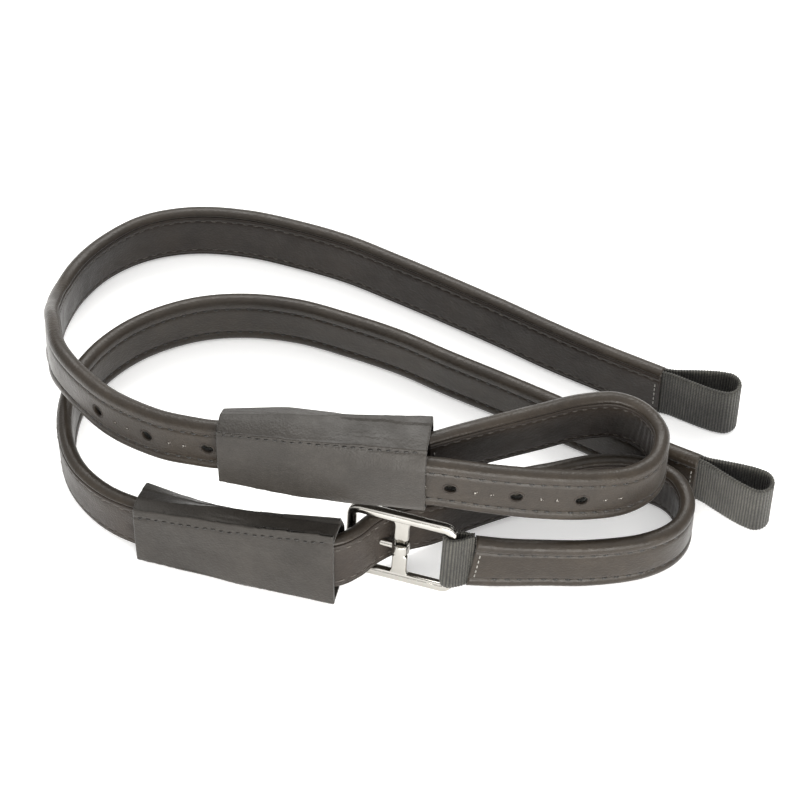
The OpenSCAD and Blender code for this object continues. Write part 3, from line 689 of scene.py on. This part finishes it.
    def clear(self, u, y, z, ny, nz, d):
        """Keep the wall, moved out by d, off what passes through it over the sleeve's travel."""
        least = self.support(u * SLEEVE_L, ny, nz) - (y * ny + z * nz) + SLEEVE_T + CREASE_GAP
        return least + 0.1 * np.log1p(np.exp(np.clip((d - least) / 0.1, -30, 30)))

    def relief(self, u, y, z, ny, nz):
        """How far the leather stands out of or sinks into its even shape."""
        n = self.n
        x = u * SLEEVE_L
        down = self.down(u, y, z)
        near = np.clip(-ny, 0, 1)
        d = 0.22 * smooth_noise(x + 0 * y, z + y * 0.7, 11 if n == "a" else 17, 14)
        d = d + 0.08 * smooth_noise(x + 0 * y, z + y, 23, 5)
        d = d - 0.32 * np.exp(-((down - SEAM_DROP[n]) / 0.5) ** 2)
        wobble = 0.25 * math.sin(x / 5.1) + 0.15 * math.sin(x / 2.3)
        step = 1 / (1 + np.exp(-(down - wobble) / 0.14))
        d = d + 0.55 * (step - 1) * (abs(down) < 12)
        band = np.clip(-down / 2, 0, 1)
        if n == "a":
            for drop, slope, wide, deep, first in CREASES:
                line = drop + slope * (u - 0.6) + 0.35 * math.sin(u * 11 + drop)
                on = 1 / (1 + math.exp(-(u - first) / 0.05))
                d = d - deep * on * np.exp(-((down - line) / wide) ** 2) * band
            d = d - 0.7 * band * math.exp(-((u - 0.42) / 0.12) ** 2)
        else:
            d = d + 0.5 * band * math.exp(-((u - 0.42) / 0.10) ** 2)
            d = d - 0.5 * band * np.exp(-((down + 2.6) / 0.7) ** 2) / (1 + math.exp(-(u - 0.5) / 0.08))
        for high, at, wide, middle, tall in SWELLS[n]:
            d = d + high * near * math.exp(-((u - at) / wide) ** 2) * np.exp(-((z - middle) / tall) ** 2)
        return self.clear(u, y, z, ny, nz, d)

    def world(self, u, y, z):
        return self.o + u * SLEEVE_L * self.x + np.outer(y, self.y) + np.outer(z, self.z)

    def build(self):
        outer, inner, uv = [], [], []
        for u in self.us:
            y, z, ny, nz = self.section(u)
            d = self.relief(u, y, z, ny, nz)
            lip = 0.3 * max(0, 1 - min(u, 1 - u) * SLEEVE_L / 0.5) ** 2
            d = d - lip
            outer.append(self.world(u, y + ny * d, z + nz * d))
            thick = SLEEVE_T - 0.4 * lip
            inner.append(self.world(u, y + ny * (d - thick), z + nz * (d - thick)))
            uv += [(u * SLEEVE_L, q) for q in self.down(u, y, z)]
        rings = outer + inner[::-1]
        m, k = len(rings), len(rings[0])
        faces = grid_faces(m, k)
        last = (m - 1) * k
        faces += [(last + i, last + (i + 1) % k, (i + 1) % k, i) for i in range(k)]
        back = [uv[i * k:(i + 1) * k] for i in range(len(self.us))][::-1]
        uv = uv + [q for row in back for q in row]
        return new_mesh("leather_sleeve_" + self.n, np.concatenate(rings), faces, uv)

    def stitches(self):
        """A row of stitches along the front, a little below the sewn edge."""
        n = self.n
        paths = []
        for k in range(int((SLEEVE_L - 3) / SEAM_PITCH)):
            x0 = 1.8 + k * SEAM_PITCH
            path = []
            for f in np.linspace(0, 1, 6):
                u = (x0 + f * 2.4) / SLEEVE_L
                y, z, ny, nz = self.section(u)
                d = self.relief(u, y, z, ny, nz)
                down = self.down(u, y, z)
                order = np.argsort(down)
                at = SEAM_DROP[n] + 0.12 * math.sin(k * 1.9)
                yy, zz, oy, oz = [float(np.interp(at, down[order], q[order]))
                                  for q in (y + ny * d, z + nz * d, ny, nz)]
                out = unit(oy * self.y + oz * self.z)
                lift = 0.22 * math.sin(math.pi * f) - 0.28 * abs(2 * f - 1) ** 4
                c = self.world(u, [yy], [zz])[0] + out * lift
                path.append((c, unit(np.cross(out, self.x)), out))
            paths.append(path)
        return paths


# ---- Materials ----

class Nodes:
    """Short ways to build a material's node tree."""

    def __init__(self, name):
        self.m = bpy.data.materials.new(name)
        self.m.use_nodes = True
        self.t = self.m.node_tree
        self.bsdf = self.t.nodes["Principled BSDF"]

    def bands(self, scale, direction, distortion=0.0):
        node = self.t.nodes.new("ShaderNodeTexWave")
        node.bands_direction = direction
        node.inputs["Scale"].default_value = scale
        node.inputs["Distortion"].default_value = distortion
        self.link(self.coords(), node.inputs["Vector"])
        return node.outputs["Fac"]

    def link(self, a, b):
        self.t.links.new(a, b)

    def math(self, op, a, b=None):
        node = self.t.nodes.new("ShaderNodeMath")
        node.operation = op
        for i, v in enumerate((a, b)):
            if v is None:
                continue
            if isinstance(v, (int, float)):
                node.inputs[i].default_value = v
            else:
                self.link(v, node.inputs[i])
        return node.outputs[0]

    def ramp(self, fac, stops):
        node = self.t.nodes.new("ShaderNodeValToRGB")
        els = node.color_ramp.elements
        while len(els) > 1:
            els.remove(els[-1])
        for i, (pos, col) in enumerate(stops):
            el = els[0] if i == 0 else els.new(pos)
            el.position = pos
            el.color = (*col, 1) if len(col) == 3 else col
        self.link(fac, node.inputs[0])
        return node.outputs[0]

    def mix(self, fac, a, b, blend="MIX"):
        node = self.t.nodes.new("ShaderNodeMix")
        node.data_type = "RGBA"
        node.blend_type = blend
        for socket, v in ((node.inputs[0], fac), (node.inputs[6], a), (node.inputs[7], b)):
            if isinstance(v, (int, float)):
                socket.default_value = v
            elif isinstance(v, tuple):
                socket.default_value = (*v, 1)
            else:
                self.link(v, socket)
        return node.outputs[2]

    def coords(self, scale=(1, 1, 1)):
        tex = self.t.nodes.new("ShaderNodeTexCoord")
        mp = self.t.nodes.new("ShaderNodeMapping")
        mp.inputs["Scale"].default_value = scale
        self.link(tex.outputs["Object"], mp.inputs[0])
        return mp.outputs[0]

    def noise(self, scale, detail, rough, vec=None):
        node = self.t.nodes.new("ShaderNodeTexNoise")
        node.inputs["Scale"].default_value = scale
        node.inputs["Detail"].default_value = detail
        node.inputs["Roughness"].default_value = rough
        self.link(vec or self.coords(), node.inputs["Vector"])
        return node.outputs["Fac"]

    def voronoi(self, scale):
        node = self.t.nodes.new("ShaderNodeTexVoronoi")
        node.inputs["Scale"].default_value = scale
        self.link(self.coords(), node.inputs["Vector"])
        return node.outputs["Distance"]

    def bump(self, layers):
        """Stacks (height, strength, distance in mm) one on another."""
        last = None
        for height, strength, distance in layers:
            node = self.t.nodes.new("ShaderNodeBump")
            node.inputs["Strength"].default_value = strength
            node.inputs["Distance"].default_value = distance * MM
            self.link(height, node.inputs["Height"])
            if last:
                self.link(last, node.inputs["Normal"])
            last = node.outputs[0]
        self.link(last, self.bsdf.inputs["Normal"])

    def run_uv(self):
        node = self.t.nodes.new("ShaderNodeUVMap")
        node.uv_map = "run"
        sep = self.t.nodes.new("ShaderNodeSeparateXYZ")
        self.link(node.outputs[0], sep.inputs[0])
        return sep.outputs[0], sep.outputs[1]


def leather(name, dark, light, rough, grain, sheen, spec):
    """Smooth bridle leather: close grain, faint pull-up blotches and fine scuffs."""
    k = Nodes(name)
    blotch = k.noise(38, 5, 0.6)
    fine = k.noise(420, 6, 0.65)
    streak = k.noise(160, 3, 0.5, k.coords((1, 1, 0.25)))
    mixed = k.math("ADD", k.math("MULTIPLY", blotch, 0.55), k.math("MULTIPLY", fine, 0.3))
    mixed = k.math("ADD", mixed, k.math("MULTIPLY", streak, 0.15))
    middle = tuple((a + b) / 2 for a, b in zip(dark, light))
    colour = k.ramp(mixed, [(0.38, dark), (0.52, middle), (0.64, light)])
    pores = k.ramp(k.voronoi(1900), [(0.0, (0.72, 0.72, 0.72)), (0.28, (1, 1, 1))])
    colour = k.mix(0.55, colour, pores, "MULTIPLY")
    k.link(colour, k.bsdf.inputs["Base Color"])
    rough_out = k.ramp(k.noise(120, 4, 0.6), [(0.3, (rough - 0.07,) * 3), (0.7, (rough + 0.09,) * 3)])
    k.link(rough_out, k.bsdf.inputs["Roughness"])
    k.bsdf.inputs["Specular IOR Level"].default_value = spec
    k.bsdf.inputs["Sheen Weight"].default_value = sheen
    k.bsdf.inputs["Sheen Roughness"].default_value = 0.5
    k.bump([(k.noise(260, 4, 0.65), 0.35 * grain, 0.5), (k.voronoi(1100), 0.55 * grain, 0.16),
            (k.noise(2200, 2, 0.5), 0.35 * grain, 0.06)])
    return k.m


def webbing_material(name, dark, light):
    """Woven nylon webbing: crosswise ribs come from the mesh, the yarns from here, and painted shade in the
    grooves with painted highlights on the rib crests.
    """
    k = Nodes(name)
    u, v = k.run_uv()
    yarn = k.noise(900, 3, 0.7)
    wear = k.noise(90, 4, 0.6)
    colour = k.ramp(k.math("ADD", k.math("MULTIPLY", yarn, 0.6), k.math("MULTIPLY", wear, 0.4)),
                    [(0.38, dark), (0.62, light)])
    # The UV's v runs round the section, so the first half of it is one face and the rest the other
    phase = k.math("ADD", k.math("MULTIPLY", u, 2 * math.pi / RIB),
                   k.math("MULTIPLY", k.math("GREATER_THAN", v, 18.5), math.pi))
    # Painted shade in the grooves between ribs and painted highlights on their crests, in step with the
    # mesh's ribs
    rib_painted_light = k.math("ADD", k.math("MULTIPLY", k.math("COSINE", phase), 0.5), 0.5)
    shade = k.ramp(rib_painted_light, [(0.0, (0.22, 0.22, 0.22)), (0.55, (0.9, 0.9, 0.9)), (1.0, (1.25, 1.24, 1.2))])
    colour = k.mix(1.0, colour, shade, "MULTIPLY")
    k.link(colour, k.bsdf.inputs["Base Color"])
    k.bsdf.inputs["Roughness"].default_value = 0.62
    k.bsdf.inputs["Specular IOR Level"].default_value = 0.35
    k.bsdf.inputs["Sheen Weight"].default_value = 0.25
    k.bsdf.inputs["Sheen Roughness"].default_value = 0.4
    k.bump([(k.bands(330, "Z", 1.2), 0.6, 0.12), (k.noise(2400, 2, 0.6), 0.5, 0.1)])
    return k.m


def thread_material(name, dark, light):
    """Waxed thread with a slight twist."""
    k = Nodes(name)
    k.link(k.ramp(k.noise(700, 3, 0.6), [(0.35, dark), (0.65, light)]), k.bsdf.inputs["Base Color"])
    k.bsdf.inputs["Roughness"].default_value = 0.5
    k.bump([(k.bands(700, "DIAGONAL"), 0.6, 0.1)])
    return k.m


def nickel_material(name):
    """Polished nickel plate with faint wipe marks."""
    k = Nodes(name)
    tone = k.ramp(k.noise(60, 4, 0.6), [(0.3, (0.40, 0.385, 0.355)), (0.7, (0.50, 0.485, 0.455))])
    k.link(tone, k.bsdf.inputs["Base Color"])
    wipes = k.ramp(k.noise(300, 4, 0.6), [(0.3, (0.09,) * 3), (0.7, (0.2,) * 3)])
    k.link(wipes, k.bsdf.inputs["Roughness"])
    k.bsdf.inputs["Metallic"].default_value = 1.0
    k.bump([(k.noise(180, 3, 0.5), 0.12, 0.15)])
    return k.m


def inner_material(name, dark, light, scale):
    """A dull, mottled surface: felt, cord, webbing inside a strap, pips, and the painted shade round holes
    and pips.
    """
    k = Nodes(name)
    k.link(k.ramp(k.noise(scale, 4, 0.7), [(0.35, dark), (0.65, light)]), k.bsdf.inputs["Base Color"])
    k.bsdf.inputs["Roughness"].default_value = 0.9
    k.bump([(k.noise(scale * 1.5, 3, 0.6), 0.6, 0.2)])
    return k.m


COVER_MAT = leather("cover_leather", (0.0132, 0.0094, 0.0062), (0.0265, 0.0198, 0.0136),
                    0.38, 0.9, 0.06, 0.26)
LINING_MAT = leather("lining_leather", (0.014, 0.010, 0.0075), (0.028, 0.021, 0.016), 0.42, 1.0, 0.04, 0.24)
SLEEVE_MAT = leather("sleeve_leather", (0.0145, 0.012, 0.0095), (0.029, 0.025, 0.021), 0.46, 1.0, 0.10, 0.26)
WEB_MAT = webbing_material("black_webbing", (0.012, 0.0115, 0.0095), (0.05, 0.048, 0.04))
THREAD_MAT = thread_material("brown_thread", (0.030, 0.025, 0.020), (0.075, 0.065, 0.054))
DARK_THREAD_MAT = thread_material("dark_thread", (0.005, 0.004, 0.0035), (0.015, 0.013, 0.011))
EDGE_MAT = thread_material("edge_thread", (0.13, 0.125, 0.115), (0.26, 0.25, 0.23))
NICKEL_MAT = nickel_material("polished_nickel")
FELT_MAT = inner_material("felt", (0.05, 0.045, 0.035), (0.09, 0.08, 0.065), 700)
CORE_MAT = inner_material("core_webbing", (0.012, 0.012, 0.011), (0.03, 0.03, 0.027), 900)
CORD_MAT = inner_material("filler_cord", (0.2, 0.18, 0.15), (0.32, 0.3, 0.25), 900)
DOT_MAT = inner_material("dot_mark", (0.10, 0.09, 0.08), (0.5, 0.48, 0.44), 420)
# Painted shade for the rings round the holes and the pips
RIM_SHADE_MAT = inner_material("rim_painted_shade", (0.006, 0.0045, 0.0035), (0.03, 0.022, 0.016), 1300)


def dress(ob, mat, body, slot, *nodes):
    """Gives a piece its material and body, and hides the CAD nodes it stands for. The slot argument is not
    used.
    """
    ob.data.materials.clear()
    ob.data.materials.append(mat)
    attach(ob, body)
    if nodes:
        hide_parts(*nodes)


def dots(n):
    """Two small clusters of pips, one large and two small, between one hole and the next."""
    s = STRAPS[n]
    level = section_out(COVER, 0.6, 1)
    verts, faces = [], []
    rings, around = 4, 10
    for k, h in enumerate(hole_places(n)):
        for side in (-3.0, 3.0):
            turn = 1.3 * k + side
            for size, away, round_by in ((0.34, 0.0, 0.0), (0.19, 0.75, 0.0), (0.2, 0.8, 2.2)):
                dx, dz = away * math.cos(turn + round_by), away * math.sin(turn + round_by) - 0.3
                c, t, up, out = s.at(h + HOLE_PITCH / 2 + side + dx)
                base = len(verts)
                for j in range(rings):
                    a = math.radians(90 * j / (rings - 1))
                    r = size * math.cos(a) + 0.02
                    for q in np.linspace(0, 2 * math.pi, around, endpoint=False):
                        verts.append(c + up * (dz + r * math.sin(q)) + t * r * math.cos(q)
                                     + out * (level - 0.12 + 0.24 * math.sin(a)))
                faces += [tuple(base + i for i in f) for f in grid_faces(rings, around, flip=FACE[n] < 0)]
                faces.append(tuple(base + (rings - 1) * around + i for i in range(around)))
    return new_mesh("dot_marks_" + n, verts, faces)


def painted_shade_rings(n):
    """Raised rings of darker colour round each punched hole and each cluster of pips: painted shade at the
    holes' lips and beside the pips.
    """
    s = STRAPS[n]
    rings = [(h, 0.0, HOLE_R, 1.0) for h in hole_places(n)]
    rings += [(h + HOLE_PITCH / 2 + side, -0.3, 0.4, 0.75) for h in hole_places(n) for side in (-3.0, 3.0)]
    verts, faces = [], []
    around = 40
    profile = ((0.0, -0.5), (0.06, 0.02), (0.3, 0.1), (0.62, 0.06), (0.8, -0.08))
    for place, middle, radius, spread in rings:
        base = len(verts)
        for wide, high in profile:
            for q in np.linspace(0, 2 * math.pi, around, endpoint=False):
                r = radius + 0.01 + wide * spread * (1 + 0.12 * math.sin(3 * q + place))
                c, _, up, out = s.at(place + r * math.cos(q))
                z = middle + r * math.sin(q)
                verts.append(c + up * z + out * (section_out(COVER, abs(z), 1) + high))
        faces += [tuple(base + i for i in f) for f in grid_faces(len(profile), around, flip=FACE[n] < 0)]
    return new_mesh("painted_shade_rings_" + n, verts, faces)


# ---- Putting the pieces on their bodies ----

for n in "ab":
    cover = punch(swept("strap_leather_" + n, n, COVER, False), n)
    dress(cover, COVER_MAT, "straps", "cover_leather", "strap_cover_" + n)
    strip = punch(swept("strap_lining_" + n, n, LINING, True), n)
    dress(strip, LINING_MAT, "straps", "lining_leather", "lining_" + n)
    rows = []
    for z in (-OUT_STITCH_Z, OUT_STITCH_Z):
        rows += strap_stitches(n, 1, z, 4.6, 2.7)
    dress(stitch_mesh("face_stitches_" + n, rows, 0.5, 0.4), DARK_THREAD_MAT, "straps", "thread")
    rows = []
    for z in (-LINING_STITCH_Z, LINING_STITCH_Z):
        rows += strap_stitches(n, -1, z, 4.5, 3.1)
    dress(stitch_mesh("lining_stitches_" + n, rows, 0.28, 0.24), THREAD_MAT, "straps", "thread")
    dress(stitch_mesh("end_stitches_" + n, end_stitches(n, False) + end_stitches(n, True), 0.3, 0.28),
          EDGE_MAT, "straps", "thread", "bar_loop_tack_" + n, "buckle_loop_tack_" + n)
    dress(dots(n), DOT_MAT, "straps", "cover_leather")
    dress(painted_shade_rings(n), RIM_SHADE_MAT, "straps", "cover_leather")
    dress(bar_loop(n), WEB_MAT, "straps", "webbing", "bar_loop_" + n)
    dress(buckle_loop(n), WEB_MAT, "straps", "webbing", "buckle_loop_" + n)
    ring_v, ring_f = frame_ring(n)
    bar_v, bar_f = cross_bar(n)
    faces = ring_f + [tuple(len(ring_v) + i for i in f) for f in bar_f]
    dress(new_mesh("buckle_" + n, np.concatenate([ring_v, bar_v]), faces), NICKEL_MAT,
          "buckle_" + n, "nickel", "buckle_frame_" + n)
    verts, faces = tongue_parts(n)
    dress(new_mesh("tongue_" + n, verts, faces), NICKEL_MAT, "tongue_" + n, "nickel", "buckle_tongue_" + n)
    sleeve = Sleeve(n)
    dress(sleeve.build(), SLEEVE_MAT, "sleeve_" + n, "sleeve_leather", "sleeve_" + n)
    dress(stitch_mesh("sleeve_stitches_" + n, sleeve.stitches(), 0.34, 0.28), DARK_THREAD_MAT,
          "sleeve_" + n, "thread", "sleeve_seam_" + n)
    for node, mat in (("padding_", FELT_MAT), ("webbing_core_", CORE_MAT), ("upper_roll_", CORD_MAT),
                      ("lower_roll_", CORD_MAT)):
        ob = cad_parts[node + n]
        ob.data.materials.clear()
        ob.data.materials.append(mat)

# ---- Floor, light and camera ----

FLOOR = 3000
floor = new_mesh("floor", [(x * FLOOR, y * FLOOR, 0) for x, y in ((-1, -1), (1, -1), (1, 1), (-1, 1))],
                 [(0, 1, 2, 3)])
paper = Nodes("floor_paper")
shade = paper.ramp(paper.noise(3, 2, 0.5), [(0.3, (0.86, 0.86, 0.86)), (0.7, (0.9, 0.9, 0.9))])
paper.link(shade, paper.bsdf.inputs["Base Color"])
paper.bsdf.inputs["Roughness"].default_value = 0.9
paper.bsdf.inputs["Emission Color"].default_value = (1, 1, 1, 1)
paper.bsdf.inputs["Emission Strength"].default_value = 0.3
floor.data.materials.append(paper.m)


def area(name, place, target, size, watts, colour):
    """A rectangular lamp at a place, turned to a target, both in metres."""
    data = bpy.data.lights.new(name, "AREA")
    data.shape = "RECTANGLE"
    data.size, data.size_y = size
    data.energy = watts
    data.color = colour
    ob = bpy.data.objects.new(name, data)
    ob.location = place
    ob.rotation_euler = (Vector(target) - Vector(place)).to_track_quat("-Z", "Y").to_euler()
    bpy.context.scene.collection.objects.link(ob)


area("key", (0.08, -0.46, 0.11), (0.02, -0.08, 0.02), (0.5, 0.15), 3.0, (1, 0.98, 0.94))
area("sheen", (0.0, 0.62, 0.80), (0, 0, 0), (0.9, 0.35), 10.0, (1, 0.99, 0.96))
scene = bpy.context.scene
world = bpy.data.worlds.new("studio")
world.use_nodes = True
scene.world = world
# A bright ceiling that darkens towards the walls, with a dim band for the nickel to reflect
tree = world.node_tree
coord = tree.nodes.new("ShaderNodeTexCoord")
split = tree.nodes.new("ShaderNodeSeparateXYZ")
sky = tree.nodes.new("ShaderNodeValToRGB")
levels = ((0.0, 0.25), (0.30, 0.30), (0.42, 0.62), (0.55, 0.85),
          (0.62, 0.30), (0.70, 0.40), (0.80, 1.0), (1.0, 1.0))
for i, (height, level) in enumerate(levels):
    el = sky.color_ramp.elements[i] if i < 2 else sky.color_ramp.elements.new(height)
    el.position = height
    el.color = (level, level * 0.995, level * 0.98, 1)
tree.links.new(coord.outputs["Generated"], split.inputs[0])
tree.links.new(split.outputs[2], sky.inputs[0])
tree.links.new(sky.outputs[0], tree.nodes["Background"].inputs[0])
tree.nodes["Background"].inputs[1].default_value = 1.9
scene.view_settings.view_transform = "Standard"
scene.view_settings.look = "None"
scene.view_settings.exposure = 0.0

cam = bpy.data.cameras.new("camera")
cam.lens = 140.6
cam.sensor_width = 36
cam.clip_start, cam.clip_end = 0.05, 20
cam_ob = bpy.data.objects.new("camera", cam)
ELEVATION = math.radians(52)
DISTANCE = 1250
AIM = np.array([-4.8, 0, 12]) + SHIFT
# A little higher in the picture, by moving the camera along its own up direction
lift = 0.8 * np.array([0, math.sin(ELEVATION), math.cos(ELEVATION)])
place = AIM + DISTANCE * np.array([0, -math.cos(ELEVATION), math.sin(ELEVATION)]) + lift
cam_ob.location = tuple(place * MM)
cam_ob.rotation_euler = (math.radians(90) - ELEVATION, 0, 0)
scene.collection.objects.link(cam_ob)
scene.camera = cam_ob
